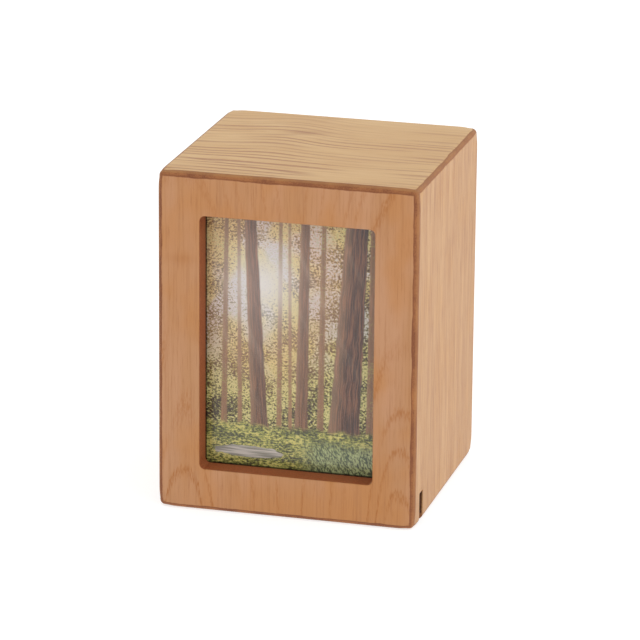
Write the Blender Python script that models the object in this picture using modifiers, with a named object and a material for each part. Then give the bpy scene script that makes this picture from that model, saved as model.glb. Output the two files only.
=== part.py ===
"""Cremation urn box with a picture window: a mitred box of veneered fibreboard.

Metres, +Z up. The window looks along -Y, and the origin is the centre of the underside.
The box is sized around a standard print. An inner wall closes the ash chamber in front, and
the pocket between it and the front board holds a clear pane, the print and its backing.
They slide up into the pocket from a saw cut across both sides.
The base lies in a rebate of the walls, held by four countersunk screws.
"""

import math

import bmesh
import bpy
from mathutils import Matrix, Vector

# Print of 3.5 by 5 inches, and the room around it in its pocket
PRINT_WIDTH = 0.0889
PRINT_HEIGHT = 0.127
PRINT_SIDE_ROOM = 0.0053
PRINT_TOP_ROOM = 0.0055
PRINT_FOOT_ROOM = 0.001

# Leaves of the picture: pane, print and backing
PANE_THICKNESS = 0.002
PRINT_THICKNESS = 0.0003
BACKING_THICKNESS = 0.003

# Boards, and the rounding of every outer edge
BOARD = 0.010
INNER_WALL = 0.009
CHAMBER_DEPTH = 0.080
EDGE_RADIUS = 0.0028
EDGE_SEGMENTS = 8

# Window in the front board, which overlaps the print on every side
WINDOW_OVERLAP = 0.0042
WINDOW_CORNER = 0.0026
WINDOW_EASING = 0.0005
CORNER_SEGMENTS = 6
EASING_SEGMENTS = 4

# Saw cut across both sides, which opens the pocket from below
SAW_CUT_HEIGHT = 0.0145

# Base board in its rebate
BASE_THICKNESS = 0.009
BASE_RECESS = 0.001
REBATE = 0.006

# Base screws, with a cross recess in the head
SCREW_LENGTH = 0.016
SCREW_POINT = 0.003
SCREW_HEAD_RADIUS = 0.0023
SCREW_HEAD_HEIGHT = 0.0016
SCREW_SHANK_RADIUS = 0.00125
SCREW_END_DISTANCE = 0.016
SCREW_SIDES = 24
DRIVE_LENGTH = 0.0026
DRIVE_WIDTH = 0.0006
DRIVE_DEPTH = 0.001

# Clearance between faces that touch, and how far a cutter runs past what it cuts
FIT = 0.0003
OVERCUT = 0.003

# Colours and finishes
VENEER_COLOUR = (0.52, 0.27, 0.12)
FIBREBOARD_COLOUR = (0.25, 0.10, 0.045)
STEEL_COLOUR = (0.60, 0.58, 0.52)
PRINT_COLOUR = (0.20, 0.19, 0.10)
CARD_COLOUR = (0.30, 0.28, 0.25)

# Heights, widths and depths that follow from the sizes above
PRINT_BOTTOM = SAW_CUT_HEIGHT + PRINT_FOOT_ROOM
PRINT_TOP = PRINT_BOTTOM + PRINT_HEIGHT
INSIDE_TOP = PRINT_TOP + PRINT_TOP_ROOM
HEIGHT = INSIDE_TOP + BOARD
INSIDE_WIDTH = PRINT_WIDTH + 2 * PRINT_SIDE_ROOM
WIDTH = INSIDE_WIDTH + 2 * BOARD
POCKET_DEPTH = PANE_THICKNESS + PRINT_THICKNESS + BACKING_THICKNESS + 4 * FIT
DEPTH = BOARD + POCKET_DEPTH + INNER_WALL + CHAMBER_DEPTH + BOARD
FRONT = -DEPTH / 2
BACK = DEPTH / 2
POCKET_FRONT = FRONT + BOARD
POCKET_BACK = POCKET_FRONT + POCKET_DEPTH
CHAMBER_FRONT = POCKET_BACK + INNER_WALL
WINDOW_WIDTH = PRINT_WIDTH - 2 * WINDOW_OVERLAP
WINDOW_HEIGHT = PRINT_HEIGHT - 2 * WINDOW_OVERLAP
WINDOW_MIDDLE = (PRINT_BOTTOM + PRINT_TOP) / 2
BASE_TOP = BASE_RECESS + BASE_THICKNESS
REBATE_HALF_WIDTH = INSIDE_WIDTH / 2 + REBATE
REBATE_BACK = BACK - BOARD + REBATE


def clear_scene():
    for old in list(bpy.data.objects):
        bpy.data.objects.remove(old)


def new_collection(name):
    made = bpy.data.collections.new(name)
    bpy.context.scene.collection.children.link(made)
    return made


def new_material(name, colour, roughness, metallic=0.0, alpha=1.0):
    made = bpy.data.materials.new(name)
    made.use_nodes = True
    shader = made.node_tree.nodes["Principled BSDF"]
    shader.inputs["Base Color"].default_value = (*colour, 1)
    shader.inputs["Roughness"].default_value = roughness
    shader.inputs["Metallic"].default_value = metallic
    shader.inputs["Alpha"].default_value = alpha
    return made


def new_object(name, mesh, collection, material=None):
    made = bpy.data.objects.new(name, mesh)
    collection.objects.link(made)
    if material:
        mesh.materials.append(material)
    return made


def mesh_from(bm, name):
    mesh = bpy.data.meshes.new(name)
    bmesh.ops.recalc_face_normals(bm, faces=bm.faces)
    bm.to_mesh(mesh)
    bm.free()
    return mesh


def box_mesh(name, low, high):
    """A cube stretched between two corners."""
    low, high = Vector(low), Vector(high)
    place = Matrix.Translation((low + high) / 2) @ Matrix.Diagonal((*(high - low), 1))
    bm = bmesh.new()
    bmesh.ops.create_cube(bm, size=1, matrix=place)
    return mesh_from(bm, name)


def add_cutter(name, mesh, collection):
    cutter = new_object(name, mesh, collection)
    cutter.hide_render = True
    cutter.display_type = "WIRE"
    return cutter


def add_boolean(target, operand, operation):
    step = target.modifiers.new(f"{operation.lower()} {operand.name}", "BOOLEAN")
    step.operation = operation
    step.object = operand
    step.solver = "EXACT"


def baked_mesh(source, name):
    """The object's shape with its modifiers, as a mesh that other objects can share."""
    bpy.context.view_layer.update()
    graph = bpy.context.evaluated_depsgraph_get()
    mesh = bpy.data.meshes.new_from_object(source.evaluated_get(graph))
    mesh.name = name
    return mesh


def add_rounded_block(cutters):
    """The outside of the whole box, with every edge rounded by the same router bit."""
    low, high = (-WIDTH / 2, FRONT, 0), (WIDTH / 2, BACK, HEIGHT)
    block = add_cutter("rounded_outside", box_mesh("rounded_outside", low, high), cutters)
    rounding = block.modifiers.new("rounding", "BEVEL")
    rounding.width = EDGE_RADIUS
    rounding.segments = EDGE_SEGMENTS
    rounding.limit_method = "NONE"
    return block


def mitred_board_mesh(name, width, height, foot_mitred):
    """A board standing up, its outer face on y = 0 looking along -Y, with edges cut at 45 degrees.

    It starts outside its own face, because the rounded outside trims it afterwards.
    """
    mesh = box_mesh(name, (-width / 2, -OVERCUT, 0), (width / 2, BOARD, height))
    joint_share = FIT / math.sqrt(2)
    for corner in mesh.vertices:
        inset = corner.co.y + joint_share
        corner.co.x -= inset * math.copysign(1, corner.co.x)
        if corner.co.z > height / 2:
            corner.co.z -= inset
        elif foot_mitred:
            corner.co.z += inset
        else:
            corner.co.z -= OVERCUT
    return mesh


def add_mitred_board(name, size, place, turn, shared, foot_mitred=False):
    parts, material, block = shared
    mesh = mitred_board_mesh(name, *size, foot_mitred)
    board = new_object(name, mesh, parts, material)
    board.location = place
    board.rotation_euler = turn
    add_boolean(board, block, "INTERSECT")
    return board


def rounded_rectangle(width, height, radius):
    """Corner points (x, z) of a rectangle with round corners, centred on 0, going round once."""
    points = []
    for quarter in range(4):
        start = quarter * math.pi / 2
        middle = start + math.pi / 4
        centre_x = math.copysign(width / 2 - radius, math.cos(middle))
        centre_z = math.copysign(height / 2 - radius, math.sin(middle))
        for step in range(CORNER_SEGMENTS + 1):
            angle = start + step * math.pi / 2 / CORNER_SEGMENTS
            points.append((centre_x + radius * math.cos(angle), centre_z + radius * math.sin(angle)))
    return points


def window_mesh():
    """The space that the router takes out of the front board, flared where the front edge is eased."""
    sections = [(FRONT - OVERCUT, WINDOW_EASING)]
    for step in range(EASING_SEGMENTS + 1):
        angle = step * math.pi / 2 / EASING_SEGMENTS
        depth = WINDOW_EASING * (1 - math.cos(angle))
        sections.append((FRONT + depth, WINDOW_EASING * (1 - math.sin(angle))))
    sections.append((POCKET_FRONT + OVERCUT, 0))

    bm = bmesh.new()
    rings = []
    for y, flare in sections:
        size = (WINDOW_WIDTH + 2 * flare, WINDOW_HEIGHT + 2 * flare)
        outline = rounded_rectangle(*size, WINDOW_CORNER + flare)
        corners = [bm.verts.new((x, y, WINDOW_MIDDLE + z)) for x, z in outline]
        rings.append([bm.edges.new(pair) for pair in zip(corners, corners[1:] + corners[:1])])
    for nearer, further in zip(rings, rings[1:]):
        bmesh.ops.bridge_loops(bm, edges=nearer + further)
    bmesh.ops.holes_fill(bm, edges=rings[0] + rings[-1])
    return mesh_from(bm, "window_cut")


def add_walls(parts, cutters, veneer):
    """The five outer boards, in a dictionary by name."""
    block = add_rounded_block(cutters)
    shared = (parts, veneer, block)
    quarter = math.pi / 2
    walls = {
        "front_panel": ((WIDTH, HEIGHT), (0, FRONT, 0), (0, 0, 0)),
        "right_side": ((DEPTH, HEIGHT), (WIDTH / 2, 0, 0), (0, 0, quarter)),
        "back_panel": ((WIDTH, HEIGHT), (0, BACK, 0), (0, 0, 2 * quarter)),
        "left_side": ((DEPTH, HEIGHT), (-WIDTH / 2, 0, 0), (0, 0, -quarter)),
    }
    made = {name: add_mitred_board(name, *rest, shared) for name, rest in walls.items()}
    made["top_panel"] = add_mitred_board(
        "top_panel", (WIDTH, DEPTH), (0, FRONT, HEIGHT), (-quarter, 0, 0), shared, foot_mitred=True
    )
    return made


def cut_window(walls, cutters):
    add_boolean(walls["front_panel"], add_cutter("window_cut", window_mesh(), cutters), "DIFFERENCE")


def cut_saw_slot(walls, cutters):
    low = (-WIDTH / 2 - OVERCUT, POCKET_FRONT, -OVERCUT)
    high = (WIDTH / 2 + OVERCUT, POCKET_BACK, SAW_CUT_HEIGHT)
    slot = add_cutter("saw_cut", box_mesh("saw_cut", low, high), cutters)
    for name in ("left_side", "right_side"):
        add_boolean(walls[name], slot, "DIFFERENCE")


def cut_rebate(walls, cutters):
    low = (-REBATE_HALF_WIDTH, CHAMBER_FRONT, -OVERCUT)
    high = (REBATE_HALF_WIDTH, REBATE_BACK, BASE_TOP + FIT)
    rebate = add_cutter("base_rebate", box_mesh("base_rebate", low, high), cutters)
    for name in ("left_side", "right_side", "back_panel"):
        add_boolean(walls[name], rebate, "DIFFERENCE")


def add_inner_wall(parts, fibreboard):
    low = (-INSIDE_WIDTH / 2 + FIT, POCKET_BACK, BASE_RECESS)
    high = (INSIDE_WIDTH / 2 - FIT, CHAMBER_FRONT, INSIDE_TOP - FIT)
    new_object("inner_wall", box_mesh("inner_wall", low, high), parts, fibreboard)


def add_picture(parts, acrylic, print_paper, card):
    """Pane, print and backing, from front to back. The print is smaller than the other two."""
    print_span = (PRINT_WIDTH / 2, PRINT_BOTTOM, PRINT_TOP)
    pocket_span = (INSIDE_WIDTH / 2 - FIT, PRINT_BOTTOM, INSIDE_TOP - FIT)
    leaves = (
        ("window_pane", PANE_THICKNESS, pocket_span, acrylic),
        ("picture_print", PRINT_THICKNESS, print_span, print_paper),
        ("picture_backing", BACKING_THICKNESS, pocket_span, card),
    )
    front = POCKET_FRONT
    for name, thickness, (half_width, bottom, top), material in leaves:
        front += FIT
        mesh = box_mesh(name, (-half_width, 0, bottom), (half_width, thickness, top))
        leaf = new_object(name, mesh, parts, material)
        leaf.location.y = front
        front += thickness


def turned_mesh(name, profile):
    """A closed turned solid about Z from (radius, height) points, from its top down."""
    bm = bmesh.new()
    points = [bm.verts.new((radius, 0, height)) for radius, height in profile]
    for pair in zip(points, points[1:]):
        bm.edges.new(pair)
    mesh = bpy.data.meshes.new(name)
    bm.to_mesh(mesh)
    bm.free()
    source = bpy.data.objects.new(name, mesh)
    bpy.context.scene.collection.objects.link(source)
    turning = source.modifiers.new("turning", "SCREW")
    turning.steps = turning.render_steps = SCREW_SIDES
    turning.use_merge_vertices = True
    turning.merge_threshold = 0.00001
    turned = baked_mesh(source, name)
    bpy.data.objects.remove(source)
    return turned


def screw_profile(clearance=0.0, below_head=0.0):
    """Outline of a countersunk screw, head down: its head's face is at height 0 and its point is up."""
    head, shank = SCREW_HEAD_RADIUS + clearance, SCREW_SHANK_RADIUS + clearance
    return [
        (0, SCREW_LENGTH + clearance),
        (shank, SCREW_LENGTH - SCREW_POINT + clearance),
        (shank, SCREW_HEAD_HEIGHT + clearance),
        (head, clearance),
        (head, -below_head),
        (0, -below_head),
    ]


def screw_mesh(cutters):
    """One screw, with a cross recess in its head."""
    source = bpy.data.objects.new("screw", turned_mesh("screw_turned", screw_profile()))
    bpy.context.scene.collection.objects.link(source)
    reach = Vector((DRIVE_LENGTH / 2, DRIVE_WIDTH / 2, DRIVE_DEPTH))
    arms = []
    for turn in (0, math.pi / 2):
        mesh = box_mesh("drive", (-reach.x, -reach.y, -OVERCUT), reach)
        mesh.transform(Matrix.Rotation(turn, 4, "Z"))
        arms.append(add_cutter("drive", mesh, cutters))
        add_boolean(source, arms[-1], "DIFFERENCE")
    made = baked_mesh(source, "base_screw")
    for helper in (source, *arms):
        bpy.data.objects.remove(helper)
    return made


def add_base(walls, parts, cutters, fibreboard, steel):
    """The base board and its screws, which run up into the ledges of the side walls."""
    low = (-REBATE_HALF_WIDTH + FIT, CHAMBER_FRONT + FIT, BASE_RECESS)
    high = (REBATE_HALF_WIDTH - FIT, REBATE_BACK - FIT, BASE_TOP)
    base = new_object("base_panel", box_mesh("base_panel", low, high), parts, fibreboard)

    screw = screw_mesh(cutters)
    screw.materials.append(steel)
    hole = turned_mesh("screw_hole", screw_profile(FIT, OVERCUT))
    ledge_middle = INSIDE_WIDTH / 2 + REBATE / 2
    for side, wall in ((-1, "left_side"), (1, "right_side")):
        for end, y in (("front", low[1] + SCREW_END_DISTANCE), ("back", high[1] - SCREW_END_DISTANCE)):
            place = (side * ledge_middle, y, BASE_RECESS)
            name = f"base_screw_{end}_{wall.split('_')[0]}"
            new_object(name, screw, parts).location = place
            cutter = add_cutter(f"{name}_hole", hole, cutters)
            cutter.location = place
            add_boolean(base, cutter, "DIFFERENCE")
            add_boolean(walls[wall], cutter, "DIFFERENCE")


def smooth_round_faces(parts):
    for part in parts.objects:
        part.data.shade_smooth()
        part.data.set_sharp_from_angle(angle=math.radians(30))


def main():
    clear_scene()
    parts = new_collection("cremation_urn_box")
    cutters = new_collection("cutters")
    veneer = new_material("stained_veneer", VENEER_COLOUR, 0.45)
    fibreboard = new_material("stained_fibreboard", FIBREBOARD_COLOUR, 0.6)
    walls = add_walls(parts, cutters, veneer)
    cut_window(walls, cutters)
    cut_saw_slot(walls, cutters)
    cut_rebate(walls, cutters)
    add_inner_wall(parts, fibreboard)
    acrylic = new_material("clear_acrylic", (1, 1, 1), 0.05, alpha=0.15)
    print_paper = new_material("print_paper", PRINT_COLOUR, 0.4)
    card = new_material("grey_card", CARD_COLOUR, 0.8)
    add_picture(parts, acrylic, print_paper, card)
    steel = new_material("zinc_steel", STEEL_COLOUR, 0.35, metallic=1.0)
    add_base(walls, parts, cutters, fibreboard, steel)
    smooth_round_faces(parts)


main()
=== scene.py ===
"""Looks of a cremation urn box: veneered boards with rounded edges, and a picture window.

Geometry is in metres and materials are written in millimetres, both in the frame of the model.
"""

import math

import bmesh
import bpy
from mathutils import Matrix, Vector


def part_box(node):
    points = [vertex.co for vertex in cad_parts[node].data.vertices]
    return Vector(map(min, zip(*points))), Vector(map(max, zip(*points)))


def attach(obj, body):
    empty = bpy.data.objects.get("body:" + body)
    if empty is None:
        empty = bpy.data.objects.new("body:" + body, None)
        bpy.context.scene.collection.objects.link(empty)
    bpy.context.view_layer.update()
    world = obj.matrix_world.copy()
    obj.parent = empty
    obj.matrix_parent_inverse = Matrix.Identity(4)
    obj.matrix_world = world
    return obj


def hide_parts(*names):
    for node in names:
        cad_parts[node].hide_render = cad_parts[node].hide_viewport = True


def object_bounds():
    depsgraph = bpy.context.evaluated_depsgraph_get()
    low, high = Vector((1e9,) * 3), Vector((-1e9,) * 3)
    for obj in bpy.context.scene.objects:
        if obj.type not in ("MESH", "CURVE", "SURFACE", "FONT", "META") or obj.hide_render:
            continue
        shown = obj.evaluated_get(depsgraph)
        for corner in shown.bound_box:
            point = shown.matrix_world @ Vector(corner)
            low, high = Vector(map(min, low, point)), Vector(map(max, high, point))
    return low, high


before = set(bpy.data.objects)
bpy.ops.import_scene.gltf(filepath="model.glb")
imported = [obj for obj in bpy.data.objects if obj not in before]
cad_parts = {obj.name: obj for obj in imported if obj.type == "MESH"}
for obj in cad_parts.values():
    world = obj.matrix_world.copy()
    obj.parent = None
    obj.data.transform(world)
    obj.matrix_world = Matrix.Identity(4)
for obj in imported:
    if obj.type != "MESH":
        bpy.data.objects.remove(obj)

CAD_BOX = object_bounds()

# The box and its boards, as the frame has them
WIDTH = CAD_BOX[1][0] - CAD_BOX[0][0]
DEPTH = CAD_BOX[1][1] - CAD_BOX[0][1]
HEIGHT = CAD_BOX[1][2] - CAD_BOX[0][2]
FRONT = CAD_BOX[0][1]
FRONT_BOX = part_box("front_panel")
BOARD = FRONT_BOX[1].y - FRONT_BOX[0].y
PRINT_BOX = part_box("picture_print")
PRINT_WIDTH = PRINT_BOX[1].x - PRINT_BOX[0].x
PRINT_HEIGHT = PRINT_BOX[1].z - PRINT_BOX[0].z
INNER_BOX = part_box("inner_wall")
BASE_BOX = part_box("base_panel")
BOX_MIDDLE = Vector((0, 0, HEIGHT / 2))

# Outside of the boards, which is finer here than in the frame, in metres
EDGE_RADIUS = 0.0028
EDGE_STEPS = 8
CORNER_WEAR = 0.0004
CORNER_REACH = 0.003
WEAR_STEPS = (0.0008, 0.0016, 0.0026, 0.0038, 0.0054, 0.0080)
JOINT_GAP = 0.00003
VENEER = 0.0004
MITRE = math.pi / 4
SHARP_ANGLE = math.radians(35)

# Window, saw cut and screw holes, in metres
FIT = 0.0003
OVERCUT = 0.003
PRINT_FOOT_ROOM = 0.001
WINDOW_OVERLAP = 0.0042
WINDOW_CORNER = 0.0026
WINDOW_EASING = 0.0005
CORNER_STEPS = 10
EASING_STEPS = 6
HOLE_SIDES = 32

# Camera: degrees, millimetres of film and lens, and metres
CAMERA_YAW = 14.958
CAMERA_PITCH = 17.257
CAMERA_ROLL = 0.505
CAMERA_FILM = 36.0
CAMERA_LENS = 237.1
CAMERA_DISTANCE = 12.2043 * HEIGHT
CAMERA_SHIFT_RIGHT = 0.0009 * HEIGHT
CAMERA_SHIFT_UP = -0.0151 * HEIGHT

# Studio: white paper that glows a little, an even white sky and one large lamp, in metres and watts
FLOOR_REACH = 6.0
PAPER_TONE = (0.5, 0.5, 0.5)
PAPER_GLOW = 0.65
SKY_STRENGTH = 0.97
LAMP_PLACE = (1.3, -0.3, 1.2)
LAMP_SIZE = 1.4
LAMP_POWER = 7.0

# Refraction of the pane, less than acrylic's so that the white studio lays no veil on the picture
PANE_INDEX = 1.3

# Millimetres to a metre
MM = 1000.0

# Rings in the veneer, in millimetres: how softly those of two hearts run into one another, how far
# from the heart a board with long lines is cut, and where the push on such lines fades in
HEARTS_BLEND = 20.0
HEART_DISTANCE = 200.0
PUSH_FADE = (-35.0, 8.0)


# Formulas of shader nodes

class Signal:
    """A number, point or colour carried by a shader socket, for use in a formula."""

    def __init__(self, look, socket):
        self.look = look
        self.socket = socket

    def __add__(self, other):
        return self.look.math("ADD", self, other)

    def __radd__(self, other):
        return self.look.math("ADD", other, self)

    def __sub__(self, other):
        return self.look.math("SUBTRACT", self, other)

    def __rsub__(self, other):
        return self.look.math("SUBTRACT", other, self)

    def __mul__(self, other):
        return self.look.math("MULTIPLY", self, other)

    def __truediv__(self, other):
        return self.look.math("DIVIDE", self, other)

    def __abs__(self):
        return self.look.math("ABSOLUTE", self)


class Look:
    """One procedural material. Its coordinates x, y and z are millimetres in the model's frame."""

    def __init__(self, name, **plain):
        self.material = bpy.data.materials.new(name)
        self.material.use_nodes = True
        self.tree = self.material.node_tree
        self.shader = self.tree.nodes["Principled BSDF"]
        place = self.node("TexCoord", output="Object")
        split = self.node("SeparateXYZ", place, output=None)
        self.x, self.y, self.z = (Signal(self, split.outputs[i]) * MM for i in range(3))
        self.set(**plain)

    def along(self, direction):
        """Millimetres from the middle of the box towards one of its own six directions."""
        places = (self.x, self.y, self.z - HEIGHT * MM / 2)
        return next(place * share for place, share in zip(places, direction) if share)

    def feed(self, socket, value):
        if isinstance(value, Signal):
            self.tree.links.new(value.socket, socket)
        elif isinstance(value, tuple) and len(socket.default_value) == len(value) + 1:
            socket.default_value = (*value, 1)
        else:
            socket.default_value = value

    def node(self, kind, *values, output=0, **settings):
        """Adds a node with its first inputs fed in order. Returns one output, or the node for None."""
        made = self.tree.nodes.new("ShaderNode" + kind)
        for name, value in settings.items():
            setattr(made, name, value)
        for socket, value in zip(made.inputs, values):
            self.feed(socket, value)
        return made if output is None else Signal(self, made.outputs[output])

    def set(self, **values):
        """Sets the shader's own inputs: base_color=... means Base Color."""
        for name, value in values.items():
            spaced = name.replace("_", " ").title().replace("Ior", "IOR")
            self.feed(self.shader.inputs[spaced], value)

    def math(self, operation, *values):
        return self.node("Math", *values, operation=operation)

    def ramp(self, value, low, high):
        """0 at low, 1 at high, smooth between. High may be the smaller one."""
        return self.node("MapRange", value, low, high, 0.0, 1.0, interpolation_type="SMOOTHSTEP")

    def gauss(self, value, width):
        """1 at 0, falling off to either side."""
        share = value / width
        return self.math("EXPONENT", share * share * -1.0)

    def mix(self, factor, first, second):
        """The first colour at 0, the second at 1."""
        made = self.node("Mix", output=None, data_type="RGBA")
        self.feed(made.inputs[0], factor)
        self.feed(made.inputs[6], first)
        self.feed(made.inputs[7], second)
        return Signal(self, made.outputs[2])

    def noise(self, x, y, z=0.0, detail=2.0, roughness=0.5, distortion=0.0):
        """Noise from 0 to 1 around 0.5. The coordinates are counted in blobs."""
        made = self.node("TexNoise", output=None)
        self.feed(made.inputs["Vector"], self.node("CombineXYZ", x, y, z))
        for name, value in (("Scale", 1.0), ("Detail", detail), ("Roughness", roughness)):
            made.inputs[name].default_value = value
        made.inputs["Distortion"].default_value = distortion
        return Signal(self, made.outputs["Fac"])

    def bump(self, height, depth_mm):
        """Relief that stands `depth_mm` high where the height is 1."""
        made = self.node("Bump", output=None)
        made.inputs["Distance"].default_value = depth_mm / MM
        self.feed(made.inputs["Height"], height)
        self.set(normal=Signal(self, made.outputs["Normal"]))


def srgb(red, green, blue):
    """A colour of 0 to 255 as seen on a screen, as linear light."""
    def linear(value):
        share = value / 255
        return share / 12.92 if share <= 0.04045 else ((share + 0.055) / 1.055) ** 2.4
    return linear(red), linear(green), linear(blue)


# Materials

def arches(heart, rise, foot):
    """Rings that arch over the line `heart`: they climb by `rise` and lie `foot` mm out halfway up."""
    def growth(look, across, along):
        side = across - heart
        height = along * rise + foot
        return look.math("SQRT", side * side + height * height)
    return growth


def twin_arches(left, right, rise, foot):
    """Rings that arch over two lines side by side, with leaning lines between them."""
    def growth(look, across, along):
        side = look.math("SMOOTH_MIN", abs(across - left), abs(across - right), HEARTS_BLEND)
        height = along * rise + foot
        return look.math("SQRT", side * side + height * height)
    return growth


def long_lines(hill, middle, spread):
    """Rings that run the length of the board, pushed aside by up to `hill` mm around `middle`.

    The push fades out towards the low side of the board.
    """
    def growth(look, across, along):
        push = look.gauss(along - middle, spread) * look.ramp(across, *PUSH_FADE)
        return across - push * hill + HEART_DISTANCE
    return growth


def steady(strength):
    """Rings of one strength all over the board."""
    def figure(look, across, along):
        return strength
    return figure


def front_figure(look, across, along):
    """Rings that show most low on the left, down the right and along the foot of the front."""
    low_left = look.ramp(across, -20.0, -44.0) * look.ramp(along, 34.0, -6.0)
    right = look.ramp(across, 10.0, 46.0)
    foot = look.ramp(along, -55.0, -68.0)
    return low_left * 0.32 + right * 0.30 + foot * 0.2 + 0.38


def top_figure(look, across, along):
    """Rings that fade a little to the right, and much to the back of the top."""
    left = look.ramp(along, 45.0, -20.0)
    front = look.ramp(across, 54.0, 22.0)
    return (left * 0.16 + 0.78) * (front * 0.75 + 0.25)


def late_wood(look, growth, across, along, seed, width, sharp, dashed):
    """The dark line of each ring, 0 to 1, where growth counts millimetres from the heart.

    A line takes up 1 - sharp of its ring, and breaks up into dashes along the grain by `dashed`.
    """
    growth += (look.noise(across / 38, along / 120, seed, detail=1.0) - 0.5) * 9.0
    growth += (look.noise(across / 8, along / 50, seed + 7.0, detail=2.0) - 0.5) * 1.6
    growth += (look.noise(across / 0.7, along / 9, seed + 8.0, detail=1.0) - 0.5) * 1.6 * dashed
    turn = growth / width
    turn += (look.noise(growth / 14.0, seed, 2.0, detail=1.0) - 0.5) * 2.0
    share = look.math("FRACT", turn)
    line = look.ramp(share, sharp, 0.82) * look.ramp(share, 1.0, 0.86)
    strength = look.noise(turn * 0.41, along / 60, seed + 3.0, detail=1.0)
    dash = look.ramp(look.noise(across / 0.5, along / 3.2, seed + 5.0, detail=1.0), 0.40, 0.60)
    return line * look.ramp(strength, 0.34, 0.60) * (dash * dashed + (1.0 - dashed))


def soft_marks(look, across, along, marks):
    """Soft flames, each (along, across, lean, half length, half width, strength)."""
    total = 0.0
    for start, side, lean, length, width, strength in marks:
        run = along - start
        total += look.gauss(run, length) * look.gauss(across - side - run * lean, width) * strength
    return total


def veneer_colour(look, across, along, seed, tones, rings, contrast, glow):
    """Wood from its pale, middle, dark, warm and ring tones, with streaks and pores along the grain.

    Returns the colour, the streaks and the pores.
    """
    pale, middle, dark, warm, ring = tones
    broad = look.noise(across / 13, along / 90, seed + 11.0, detail=2.0)
    cloud = look.noise(across / 22, along / 38, seed + 13.0, detail=2.0)
    streak = look.noise(across / 1.0, along / 48, seed + 17.0, detail=3.0, roughness=0.6)
    fine = look.noise(across / 0.26, along / 7, seed + 19.0, detail=2.0, roughness=0.6)
    base = look.mix(look.ramp(broad, 0.36, 0.64), pale, middle)
    base = look.mix(look.ramp(cloud, 0.44, 0.66) * 0.7, base, warm)
    base = look.mix(soft_marks(look, across, along, glow), base, warm) if glow else base
    base = look.mix(look.ramp(streak, 0.46, 0.72) * contrast, base, dark)
    fleck = look.noise(across / 0.8, along / 15, seed + 29.0, detail=2.0)
    base = look.mix(look.ramp(fleck, 0.56, 0.72) * contrast, base, dark)
    base = look.mix(rings, base, ring)
    pores = look.ramp(fine, 0.56, 0.70) * look.ramp(streak, 0.35, 0.6)
    return look.mix(pores * (contrast * 0.8), base, dark), streak, pores


def nearest(look, distances):
    """The smallest of several signals."""
    least = distances[0]
    for distance in distances[1:]:
        least = look.math("MINIMUM", least, distance)
    return least


def board_look(face, half_size, worn, tones, core, seed, growth, ring_width, figure,
               sharp, contrast, dashed=0.0, marks=(), glow=()):
    """A veneered board whose veneer is sanded through near its edges.

    The band that is sanded through is `worn` mm wide at the low and the high edge in the face's
    first direction, and then in its second. The soft flames in `marks` are dark like the rings,
    and those in `glow` have the warm tone.
    """
    look = Look(f"{face}_veneer")
    u, v, w = (look.along(axis) for axis in BOARD_FACES[face])
    half_u, half_v, out = (size * MM for size in half_size)
    below = out - w
    across, along = (v, u) if face == "top" else (u, v)
    lines = growth(look, across, along)
    rings = late_wood(look, lines, across, along, seed, ring_width, sharp, dashed)
    rings = rings * figure(look, across, along) + soft_marks(look, across, along, marks)
    wood, streak, pores = veneer_colour(look, across, along, seed, tones, rings, contrast, glow)

    edges = (u + half_u, half_u - u, v + half_v, half_v - v)
    inside = nearest(look, [edge - limit for edge, limit in zip(edges, worn)])
    sanding = (look.noise(look.x / 12, look.y / 12, look.z / 12, detail=2.0) - 0.5) * 1.1
    sanding += (look.noise(look.x / 2, look.y / 2, look.z / 2) - 0.5) * 0.3
    veneer_left = inside + sanding
    sanded = look.ramp(veneer_left, 0.14, -0.14)
    cut_through = look.ramp(below, VENEER * MM - 0.05, VENEER * MM + 0.1)
    shown = look.math("MAXIMUM", sanded, cut_through)

    core_light, core_dark, cut_stain_and_shade = core
    felt = look.noise(look.x / 0.5, look.y / 0.5, look.z / 0.5, detail=3.0)
    patch = look.noise(look.x / 9, look.y / 9, look.z / 9, detail=2.0)
    fibre = look.mix(look.ramp(felt * 0.5 + patch * 0.5, 0.36, 0.64), core_dark, core_light)
    fibre = look.mix(look.gauss(veneer_left + 0.3, 0.35) * 0.7, fibre, core_dark)
    # Deep cuts and inner faces take the cut tone: real stain on the front and back, painted shade on
    # the sides and top for the shadow in the saw cut
    routed = look.mix(look.ramp(felt, 0.40, 0.62) * 0.55, cut_stain_and_shade, core_dark)
    fibre = look.mix(look.ramp(inside, 0.4, 1.4), fibre, routed)
    look.set(base_color=look.mix(shown, wood, fibre))

    look.set(roughness=0.40 + streak * 0.10 + shown * 0.14, specular_ior_level=0.4)
    relief = (rings * -0.5 - pores) * (1.0 - shown) + felt * shown * 1.2
    look.bump(relief, 0.03)
    return look.material


# Stained core where the router went through; the near-black slot tone is painted shade, standing in for
# the shadow inside the saw cut and on the inner faces of the sides and top
CUT_TONE = srgb(166, 91, 50)
SLOT_SHADE_TONE = srgb(62, 30, 16)

# Veneers: their pale, middle, dark, warm and ring tones
FRONT_TONES = (
    srgb(184, 135, 98),
    srgb(178, 128, 86),
    srgb(144, 86, 40),
    srgb(180, 121, 66),
    srgb(158, 94, 34),
)
SIDE_TONES = (
    srgb(194, 148, 96),
    srgb(186, 139, 87),
    srgb(150, 92, 46),
    srgb(191, 141, 82),
    srgb(158, 98, 46),
)
TOP_TONES = (
    srgb(203, 166, 113),
    srgb(197, 157, 102),
    srgb(158, 98, 58),
    srgb(193, 152, 98),
    srgb(150, 98, 54),
)

# Cores of the boards: their light and dark fibres, and the tone where they are cut deep, which is stain
# on the front and back and painted shade on the sides and top
FRONT_CORE = (srgb(158, 100, 53), srgb(119, 65, 32), CUT_TONE)
SIDE_CORE = (srgb(161, 107, 59), srgb(140, 87, 47), SLOT_SHADE_TONE)
TOP_CORE = (srgb(160, 109, 60), srgb(139, 89, 49), SLOT_SHADE_TONE)

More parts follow.
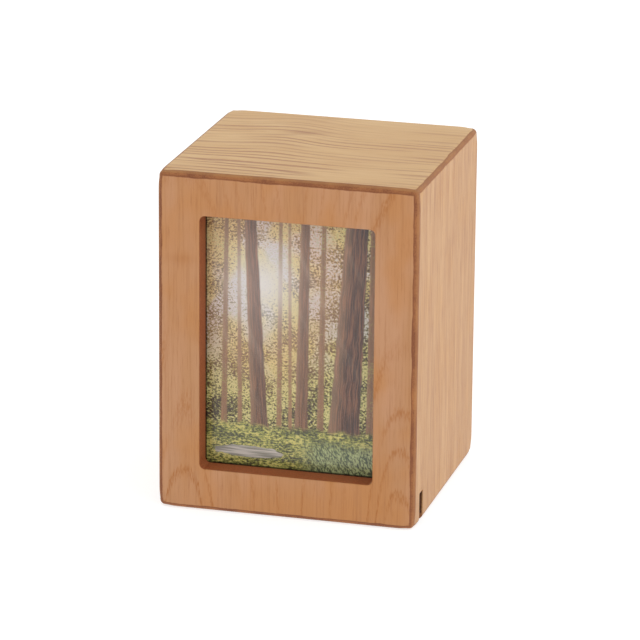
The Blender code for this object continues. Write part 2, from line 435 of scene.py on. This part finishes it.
# Soft flames in the veneers, as soft_marks takes them, in millimetres
FRONT_MARKS = (
    (39.0, -49.0, 0.0, 2.5, 7.0, 0.30),
)
FRONT_GLOW = (
    (-74.0, 20.0, 0.0, 14.0, 60.0, 0.80),
    (72.0, -10.0, 0.0, 12.0, 60.0, 0.30),
    (32.0, -50.0, 0.0, 30.0, 12.0, 0.40),
)
TOP_MARKS = (
    (-32.0, -38.0, -0.22, 30.0, 0.9, 0.40),
    (1.0, -45.0, -0.15, 9.0, 2.0, 0.45),
    (-14.0, 24.0, 0.05, 10.0, 3.6, 0.58),
    (-24.0, 17.0, 0.30, 9.0, 1.6, 0.35),
)
TOP_GLOW = (
    (44.0, 0.0, 0.0, 34.0, 70.0, 0.70),
)

# Settings of board_look for each board
BOARD_LOOKS = {
    "front": dict(
        tones=FRONT_TONES, core=FRONT_CORE, worn=(2.1, 2.2, 2.1, 2.5), seed=3.0,
        growth=twin_arches(-48.0, 53.0, 0.14, 22.0), figure=front_figure, ring_width=4.2,
        sharp=0.60, dashed=0.75, contrast=0.25, marks=FRONT_MARKS, glow=FRONT_GLOW,
    ),
    "right": dict(
        tones=SIDE_TONES, core=SIDE_CORE, worn=(3.4, 2.1, 2.1, 2.1), seed=23.0,
        growth=long_lines(0.0, 0.0, 20.0), figure=steady(0.76), ring_width=2.4,
        sharp=0.35, contrast=0.56,
    ),
    "back": dict(
        tones=FRONT_TONES, core=FRONT_CORE, worn=(2.1, 2.1, 2.1, 2.1), seed=63.0,
        growth=arches(-8.0, 0.2, 26.0), figure=steady(0.60), ring_width=4.4,
        sharp=0.60, dashed=0.75, contrast=0.18,
    ),
    "left": dict(
        tones=SIDE_TONES, core=SIDE_CORE, worn=(2.1, 3.4, 2.1, 2.1), seed=43.0,
        growth=long_lines(4.0, 20.0, 30.0), figure=steady(0.50), ring_width=2.6,
        sharp=0.35, contrast=0.32,
    ),
    "top": dict(
        tones=TOP_TONES, core=TOP_CORE, worn=(2.1, 1.8, 2.7, 2.1), seed=83.0,
        growth=long_lines(7.5, -22.0, 20.0), figure=top_figure, ring_width=4.8,
        sharp=0.40, dashed=0.20, contrast=0.18, marks=TOP_MARKS, glow=TOP_GLOW,
    ),
}

# Trunks of the printed woodland: (foot, top, half width of foot, of top) in millimetres, and haze
FAR_TRUNKS = (
    (12.0, 13.5, 1.5, 0.9, 0.70),
    (20.0, 19.0, 1.1, 0.7, 0.80),
    (38.0, 38.5, 1.3, 0.8, 0.75),
    (43.5, 42.5, 0.9, 0.6, 0.85),
    (57.0, 58.5, 1.6, 1.0, 0.60),
    (80.0, 81.0, 1.7, 1.1, 0.55),
)
NEAR_TRUNKS = (
    (48.0, 50.0, 3.2, 2.0, 0.30),
    (30.0, 24.0, 4.2, 2.6, 0.18),
    (67.0, 74.0, 7.5, 5.0, 0.06),
)

# Middle and reach of the print's glow and of its pool, in millimetres from its lower left corner
GLOW_MIDDLE = (30.0, 90.0)
GLOW_REACH = (30.0, 34.0)
POOL_MIDDLE = (24.0, 10.5)
POOL_REACH = (17.0, 2.9)


# Geometry

BOARD_NODES = {
    "front": "front_panel",
    "right": "right_side",
    "back": "back_panel",
    "left": "left_side",
    "top": "top_panel",
}

# Each board's own directions: across its face, up its face and out of it
BOARD_FACES = {
    "front": (Vector((1, 0, 0)), Vector((0, 0, 1)), Vector((0, -1, 0))),
    "right": (Vector((0, 1, 0)), Vector((0, 0, 1)), Vector((1, 0, 0))),
    "back": (Vector((-1, 0, 0)), Vector((0, 0, 1)), Vector((0, 1, 0))),
    "left": (Vector((0, -1, 0)), Vector((0, 0, 1)), Vector((-1, 0, 0))),
    "top": (Vector((1, 0, 0)), Vector((0, 1, 0)), Vector((0, 0, 1))),
}


def rounded_lines(half, low_turn):
    """Lines across a board: (distance of the core, angle, mitred, run) from one edge to the other.

    The run is how far the line stands in from where the edge's own rounding starts.
    """
    core = half - EDGE_RADIUS
    mitred = low_turn == MITRE
    low = [(-core, -low_turn * (1 - i / EDGE_STEPS), mitred, 0.0) for i in range(EDGE_STEPS + 1)]
    low += [(run - core, 0.0, mitred, run) for run in WEAR_STEPS]
    high = [(core - run, 0.0, True, run) for run in WEAR_STEPS[::-1]]
    high += [(core, MITRE * i / EDGE_STEPS, True, 0.0) for i in range(EDGE_STEPS + 1)]
    return low + high


def on_mitre(turn):
    return abs(abs(turn) - MITRE) < 1e-9


def outside_point(column, row, out):
    """A point of the rounded outside, in the board's own directions, with its joint gap.

    The corners of the box are sanded a little further back than its edges.
    """
    core_u, turn_u, _, run_u = column
    core_v, turn_v, mitred, run_v = row
    tilt = math.atan(math.tan(turn_v) * math.cos(turn_u)) if mitred else turn_v
    normal = Vector((
        math.sin(turn_u) * math.cos(tilt),
        math.sin(tilt),
        math.cos(turn_u) * math.cos(tilt),
    ))
    wear = CORNER_WEAR * math.exp(-(run_u ** 2 + run_v ** 2) / CORNER_REACH ** 2)
    point = Vector((core_u, core_v, out - EDGE_RADIUS)) + (EDGE_RADIUS - wear) * normal
    half_gap = JOINT_GAP / 2
    if on_mitre(turn_u):
        point += Vector((-math.copysign(half_gap, turn_u), 0, -half_gap))
    if mitred and on_mitre(turn_v):
        point += Vector((0, -math.copysign(half_gap, turn_v), -half_gap))
    return point


def mesh_from(bm, name):
    mesh = bpy.data.meshes.new(name)
    bm.to_mesh(mesh)
    bm.free()
    return mesh


def board_mesh(face, half_u, half_v, out, mitred_below):
    """A mitred board with its rounded edges. A board that isn't mitred below rounds under itself."""
    columns = rounded_lines(half_u, MITRE)
    rows = rounded_lines(half_v, MITRE if mitred_below else math.pi / 2)
    bm = bmesh.new()
    grid = [[bm.verts.new(outside_point(c, r, out)) for c in columns] for r in rows]
    for lower, upper in zip(grid, grid[1:]):
        for i in range(len(columns) - 1):
            bm.faces.new((lower[i], lower[i + 1], upper[i + 1], upper[i]))

    inset = BOARD + JOINT_GAP / 2
    foot = -half_v + (inset if mitred_below else 0)
    inner = [
        bm.verts.new((u, v, out - BOARD))
        for u, v in (
            (inset - half_u, foot),
            (half_u - inset, foot),
            (half_u - inset, half_v - inset),
            (inset - half_u, half_v - inset),
        )
    ]
    bm.faces.new(inner[::-1])
    bm.faces.new(grid[0][::-1] + inner[:2])
    bm.faces.new(grid[-1] + [inner[2], inner[3]])
    bm.faces.new([row[0] for row in grid] + [inner[3], inner[0]])
    bm.faces.new([row[-1] for row in grid][::-1] + [inner[1], inner[2]])
    bmesh.ops.remove_doubles(bm, verts=bm.verts, dist=1e-7)
    bmesh.ops.recalc_face_normals(bm, faces=bm.faces)

    turn = Matrix(BOARD_FACES[face]).transposed().to_4x4()
    bm.transform(Matrix.Translation(BOX_MIDDLE) @ turn)
    return mesh_from(bm, f"{face}_board")


def add_object(name, data):
    made = bpy.data.objects.new(name, data)
    bpy.context.scene.collection.objects.link(made)
    return made


def box_cutter(low, high):
    low, high = Vector(low), Vector(high)
    bm = bmesh.new()
    place = Matrix.Translation((low + high) / 2) @ Matrix.Diagonal((*(high - low), 1))
    bmesh.ops.create_cube(bm, size=1, matrix=place)
    return add_object("cutter", mesh_from(bm, "cutter"))


def rounded_rectangle(width, height, radius):
    """Corner points (x, z) of a rectangle with round corners, centred on 0, going round once."""
    points = []
    for quarter in range(4):
        start = quarter * math.pi / 2
        middle = start + math.pi / 4
        centre_x = math.copysign(width / 2 - radius, math.cos(middle))
        centre_z = math.copysign(height / 2 - radius, math.sin(middle))
        for step in range(CORNER_STEPS + 1):
            angle = start + step * math.pi / 2 / CORNER_STEPS
            points.append((centre_x + radius * math.cos(angle), centre_z + radius * math.sin(angle)))
    return points


def window_cutter():
    """The routed window, flared where its front edge is eased."""
    width = PRINT_WIDTH - 2 * WINDOW_OVERLAP
    height = PRINT_HEIGHT - 2 * WINDOW_OVERLAP
    middle = (PRINT_BOX[0].z + PRINT_BOX[1].z) / 2
    sections = [(FRONT - OVERCUT, WINDOW_EASING)]
    for step in range(EASING_STEPS + 1):
        angle = step * math.pi / 2 / EASING_STEPS
        depth = WINDOW_EASING * (1 - math.cos(angle))
        sections.append((FRONT + depth, WINDOW_EASING * (1 - math.sin(angle))))
    sections.append((FRONT + BOARD + OVERCUT, 0))
    bm = bmesh.new()
    rings = []
    for y, flare in sections:
        outline = rounded_rectangle(width + 2 * flare, height + 2 * flare, WINDOW_CORNER + flare)
        corners = [bm.verts.new((x, y, middle + z)) for x, z in outline]
        rings.append([bm.edges.new(pair) for pair in zip(corners, corners[1:] + corners[:1])])
    for nearer, further in zip(rings, rings[1:]):
        bmesh.ops.bridge_loops(bm, edges=nearer + further)
    bmesh.ops.holes_fill(bm, edges=rings[0] + rings[-1])
    bmesh.ops.recalc_face_normals(bm, faces=bm.faces)
    return add_object("window_cutter", mesh_from(bm, "window_cutter"))


def screw_hole_cutters():
    """Clearance holes around the frame's own base screws."""
    made = []
    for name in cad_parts:
        if name.startswith("base_screw"):
            low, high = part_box(name)
            middle = (low + high) / 2
            reach = (high.x - low.x) / 2 + FIT
            bm = bmesh.new()
            place = Matrix.Translation((middle.x, middle.y, low.z + (high.z - low.z - OVERCUT) / 2))
            bmesh.ops.create_cone(
                bm, cap_ends=True, segments=HOLE_SIDES, radius1=reach, radius2=reach,
                depth=high.z - low.z + OVERCUT + FIT, matrix=place
            )
            made.append(add_object("screw_hole", mesh_from(bm, "screw_hole")))
    return made


def cut(piece, cutters):
    """Takes the cutters out of the piece for good, and removes them."""
    for cutter in cutters:
        step = piece.modifiers.new("cut", "BOOLEAN")
        step.operation = "DIFFERENCE"
        step.solver = "EXACT"
        step.object = cutter
    bpy.context.view_layer.update()
    graph = bpy.context.evaluated_depsgraph_get()
    mesh = bpy.data.meshes.new_from_object(piece.evaluated_get(graph))
    piece.modifiers.clear()
    piece.data = mesh
    for cutter in cutters:
        bpy.data.objects.remove(cutter)


def finish_board(piece, node, material):
    """Gives the board smooth round edges with flat faces between them, and its place in the frame."""
    mesh = piece.data
    mesh.materials.clear()
    mesh.materials.append(material)
    mesh.shade_smooth()
    mesh.set_sharp_from_angle(angle=SHARP_ANGLE)
    weighted = piece.modifiers.new("flat faces stay flat", "WEIGHTED_NORMAL")
    weighted.keep_sharp = True
    weighted.weight = 100
    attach(piece, "root")
    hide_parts(node)


def add_boards():
    """The five outer boards, with the window, the saw cut and the rebate of the base cut out."""
    half_w, half_d, half_h = WIDTH / 2, DEPTH / 2, HEIGHT / 2
    half_sizes = {
        "front": (half_w, half_h, half_d),
        "right": (half_d, half_h, half_w),
        "back": (half_w, half_h, half_d),
        "left": (half_d, half_h, half_w),
        "top": (half_w, half_d, half_h),
    }
    boards = {
        face: add_object(f"{face}_board", board_mesh(face, *sizes, face == "top"))
        for face, sizes in half_sizes.items()
    }

    cut(boards["front"], [window_cutter()])
    slot_low = (-half_w - OVERCUT, FRONT + BOARD, -OVERCUT)
    slot_high = (half_w + OVERCUT, INNER_BOX[0].y, PRINT_BOX[0].z - PRINT_FOOT_ROOM)
    rebate_low = (BASE_BOX[0].x - FIT, INNER_BOX[1].y, -OVERCUT)
    rebate_high = (BASE_BOX[1].x + FIT, BASE_BOX[1].y + FIT, BASE_BOX[1].z + FIT)
    cut(boards["back"], [box_cutter(rebate_low, rebate_high)])
    for side in ("left", "right"):
        cutters = [box_cutter(slot_low, slot_high), box_cutter(rebate_low, rebate_high)]
        cut(boards[side], cutters + screw_hole_cutters())

    for face, board in boards.items():
        material = board_look(face, half_sizes[face], **BOARD_LOOKS[face])
        finish_board(board, BOARD_NODES[face], material)


def fibreboard_look():
    look = Look("fibreboard", roughness=0.62, specular_ior_level=0.3)
    felt = look.noise(look.x / 0.6, look.y / 0.6, look.z / 0.6, detail=4.0, roughness=0.65)
    patch = look.noise(look.x / 22, look.y / 22, look.z / 22, detail=3.0)
    base = look.mix(look.ramp(patch, 0.3, 0.7), srgb(150, 100, 66), srgb(166, 114, 78))
    look.set(base_color=look.mix(look.ramp(felt, 0.35, 0.7), srgb(118, 72, 46), base))
    look.bump(felt, 0.05)
    return look.material


def give(node, material):
    """Gives a node of the frame a new material."""
    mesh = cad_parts[node].data
    mesh.materials.clear()
    mesh.materials.append(material)


def add_inner_pieces():
    board = fibreboard_look()
    give("base_panel", board)
    give("inner_wall", board)

    card = Look("grey_card", roughness=0.85)
    fibre = card.noise(card.x / 0.8, card.z / 0.8, card.y, detail=4.0, roughness=0.7)
    card.set(base_color=card.mix(fibre, srgb(140, 134, 124), srgb(172, 166, 154)))
    give("picture_backing", card.material)

    pane = Look("clear_pane", base_color=(1.0, 1.0, 1.0), roughness=0.03)
    pane.set(transmission_weight=1.0, ior=PANE_INDEX)
    give("window_pane", pane.material)

    steel = Look("zinc_steel", metallic=1.0, base_color=srgb(196, 190, 172))
    wear = steel.noise(steel.x / 0.5, steel.y / 0.5, steel.z / 0.5, detail=3.0)
    steel.set(roughness=0.25 + wear * 0.25)
    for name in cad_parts:
        if name.startswith("base_screw"):
            give(name, steel.material)


def from_middle(places, middle, reach):
    """How far two places lie from a middle, counted in reaches."""
    return [(place - start) / size for place, start, size in zip(places, middle, reach)]


def add_trunk(look, picture, across, up, share, trunk, seed):
    """Paints one trunk over the picture. The trunk is (foot, top, half foot, half top, haze)."""
    foot, top, half_foot, half_top, haze = trunk
    half = share * (half_top - half_foot) + half_foot
    half += look.gauss(up - 16.0, 7.0) * half_foot * 0.25
    off = across - (share * (top - foot) + foot)
    off += (look.noise(up / 9, seed, detail=2.0) - 0.5) * half_foot * 0.25
    bark = look.noise(off * 1.4, up / 16, seed, detail=3.0, roughness=0.65)
    tone = look.mix(look.ramp(bark, 0.40, 0.68), srgb(60, 40, 36), srgb(156, 102, 76))
    tone = look.mix(look.ramp(off / half, 0.0, -1.0) * 0.3, tone, srgb(236, 188, 146))
    tone = look.mix(haze, tone, srgb(188, 138, 96))
    return look.mix(look.ramp(abs(off) - half, 0.4, -0.4), picture, tone)


def add_ground(look, picture, across, up):
    """Paints the forest floor with its ferns and a pool."""
    rough = look.noise(across / 1.7, up / 0.9, 41.0, detail=3.0, roughness=0.7)
    light = look.noise(across / 15, up / 5, 43.0, detail=2.0)
    value = rough * 1.9 + light * 0.9 - 0.90
    grass = look.mix(look.ramp(value, 0.34, 0.50), srgb(82, 82, 50), srgb(156, 158, 72))
    grass = look.mix(look.ramp(value, 0.52, 0.66), grass, srgb(232, 220, 128))
    frond = look.noise(across / 1.2 + up / 2.6, up / 3.2 - across / 5, 47.0, detail=2.0, distortion=1.4)
    fern = look.mix(look.ramp(frond, 0.42, 0.60), srgb(84, 98, 70), srgb(198, 208, 146))
    where = look.ramp(across, 44.0, 58.0) * look.ramp(up, 21.0, 13.0)
    grass = look.mix(where, grass, fern)

    pool_x, pool_z = from_middle((across, up), POOL_MIDDLE, POOL_REACH)
    bank = look.noise(across / 4, up / 2, 57.0, detail=2.0) * 0.9
    pool = look.ramp(pool_x * pool_x + pool_z * pool_z + bank, 1.42, 1.26)
    ripple = look.noise(across / 14, up / 0.9, 53.0, detail=1.0)
    water = look.mix(look.ramp(ripple, 0.36, 0.66), srgb(158, 150, 134), srgb(224, 214, 204))
    grass = look.mix(pool, grass, water)
    shore = up - look.noise(across / 13, 59.0, detail=2.0) * 12.0
    return look.mix(look.ramp(shore, 19.0, 16.0), picture, grass)


def print_look():
    """A generic woodland in morning light, in millimetres from the print's lower left corner.

    Where it runs under the front it carries painted shade, a near-black border that stands in for the
    rebate's shadow.
    """
    look = Look("woodland_print", roughness=0.4)
    across = look.x - PRINT_BOX[0].x * MM
    up = look.z - PRINT_BOX[0].z * MM
    share = up / (PRINT_HEIGHT * MM)
    glow_x, glow_z = from_middle((across, up), GLOW_MIDDLE, GLOW_REACH)
    from_glow = look.math("SQRT", glow_x * glow_x + glow_z * glow_z)

    leaf = look.noise(across / 1.1, up / 0.95, 9.0, detail=3.0, roughness=0.75)
    clump = look.noise(across / 15, up / 12, 5.0, detail=2.0)
    cool = look.ramp(look.noise(across / 18, up / 24, 15.0, detail=1.0), 0.46, 0.56)
    value = leaf * 5.6 + clump * 2.6 - 3.65 + look.gauss(from_glow, 1.1) * 0.46
    green = look.mix(look.ramp(share, 0.52, 0.80), srgb(160, 164, 70), srgb(220, 190, 104))
    sky = look.mix(cool * look.ramp(share, 0.30, 0.60), srgb(255, 240, 168), srgb(246, 244, 255))
    picture = look.mix(look.ramp(value, 0.12, 0.34), srgb(60, 46, 34), srgb(136, 118, 60))
    picture = look.mix(look.ramp(value, 0.34, 0.56), picture, green)
    picture = look.mix(look.ramp(value, 0.58, 0.82), picture, sky)
    picture = look.mix(look.gauss(from_glow - 1.0, 0.5) * 0.32, picture, srgb(240, 166, 104))

    for number, trunk in enumerate(FAR_TRUNKS):
        picture = add_trunk(look, picture, across, up, share, trunk, 70.0 + number)
    picture = look.mix(look.ramp(leaf + clump * 0.5, 0.80, 0.90) * 0.6, picture, srgb(190, 180, 104))
    picture = look.mix(look.gauss(from_glow, 0.42) * 0.90, picture, srgb(255, 252, 248))
    for number, trunk in enumerate(NEAR_TRUNKS):
        picture = add_trunk(look, picture, across, up, share, trunk, 90.0 + number)
    picture = add_ground(look, picture, across, up)

    shaft = look.noise((across + up * 0.5) / 6, 61.0, detail=1.0)
    shaft = look.ramp(shaft, 0.5, 0.7) * look.gauss(from_glow, 1.5) * 0.12
    picture = look.mix(shaft, picture, srgb(255, 236, 212))
    picture = look.mix(look.gauss(from_glow, 0.9) * 0.20, picture, srgb(255, 232, 226))

    # Painted shade: the print turns near-black where it runs under the front, standing in for the
    # shadow the rebate casts on it
    window_x = abs(look.x) - (PRINT_BOX[1].x - WINDOW_OVERLAP) * MM
    window_z = abs(share - 0.5) * PRINT_HEIGHT * MM - (PRINT_HEIGHT / 2 - WINDOW_OVERLAP) * MM
    painted_rebate_shade = look.ramp(look.math("MAXIMUM", window_x, window_z), -0.2, 0.1)
    picture = look.mix(painted_rebate_shade * 0.85, picture, srgb(38, 26, 18))
    look.set(base_color=picture)
    return look.material


# Studio

def add_camera():
    yaw, pitch, roll = (math.radians(a) for a in (CAMERA_YAW, CAMERA_PITCH, CAMERA_ROLL))
    back = Vector((
        math.sin(yaw) * math.cos(pitch),
        -math.cos(yaw) * math.cos(pitch),
        math.sin(pitch),
    ))
    right = Vector((math.cos(yaw), math.sin(yaw), 0))
    up = back.cross(right)
    right, up = (
        right * math.cos(roll) + up * math.sin(roll),
        up * math.cos(roll) - right * math.sin(roll),
    )
    eye = BOX_MIDDLE + back * CAMERA_DISTANCE
    eye += right * CAMERA_SHIFT_RIGHT + up * CAMERA_SHIFT_UP
    data = bpy.data.cameras.new("camera")
    data.lens = CAMERA_LENS
    data.sensor_width = CAMERA_FILM
    data.clip_start = 0.05
    data.clip_end = 50
    camera = add_object("camera", data)
    camera.matrix_world = Matrix.Translation(eye) @ Matrix((right, up, back)).transposed().to_4x4()
    bpy.context.scene.camera = camera


def add_lamp():
    """One large soft lamp that points at the middle of the box."""
    data = bpy.data.lights.new("key", "AREA")
    data.shape = "SQUARE"
    data.size = LAMP_SIZE
    data.energy = LAMP_POWER
    lamp = add_object("key", data)
    lamp.location = LAMP_PLACE
    from_box = Vector(LAMP_PLACE) - BOX_MIDDLE
    lamp.rotation_euler = from_box.to_track_quat("Z", "Y").to_euler()


def add_studio():
    bm = bmesh.new()
    bmesh.ops.create_grid(bm, x_segments=8, y_segments=8, size=FLOOR_REACH)
    floor = add_object("floor", mesh_from(bm, "floor"))
    paper = Look("white_paper", roughness=0.9, base_color=PAPER_TONE, specular_ior_level=0.0)
    paper.set(emission_color=(1.0, 1.0, 1.0), emission_strength=PAPER_GLOW)
    floor.data.materials.append(paper.material)

    world = bpy.data.worlds.new("studio")
    bpy.context.scene.world = world
    world.use_nodes = True
    sky = world.node_tree.nodes["Background"]
    sky.inputs["Color"].default_value = (1.0, 1.0, 1.0, 1)
    sky.inputs["Strength"].default_value = SKY_STRENGTH
    add_lamp()
    bpy.context.scene.view_settings.view_transform = "Standard"


add_camera()
add_studio()
add_boards()
add_inner_pieces()
give("picture_print", print_look())
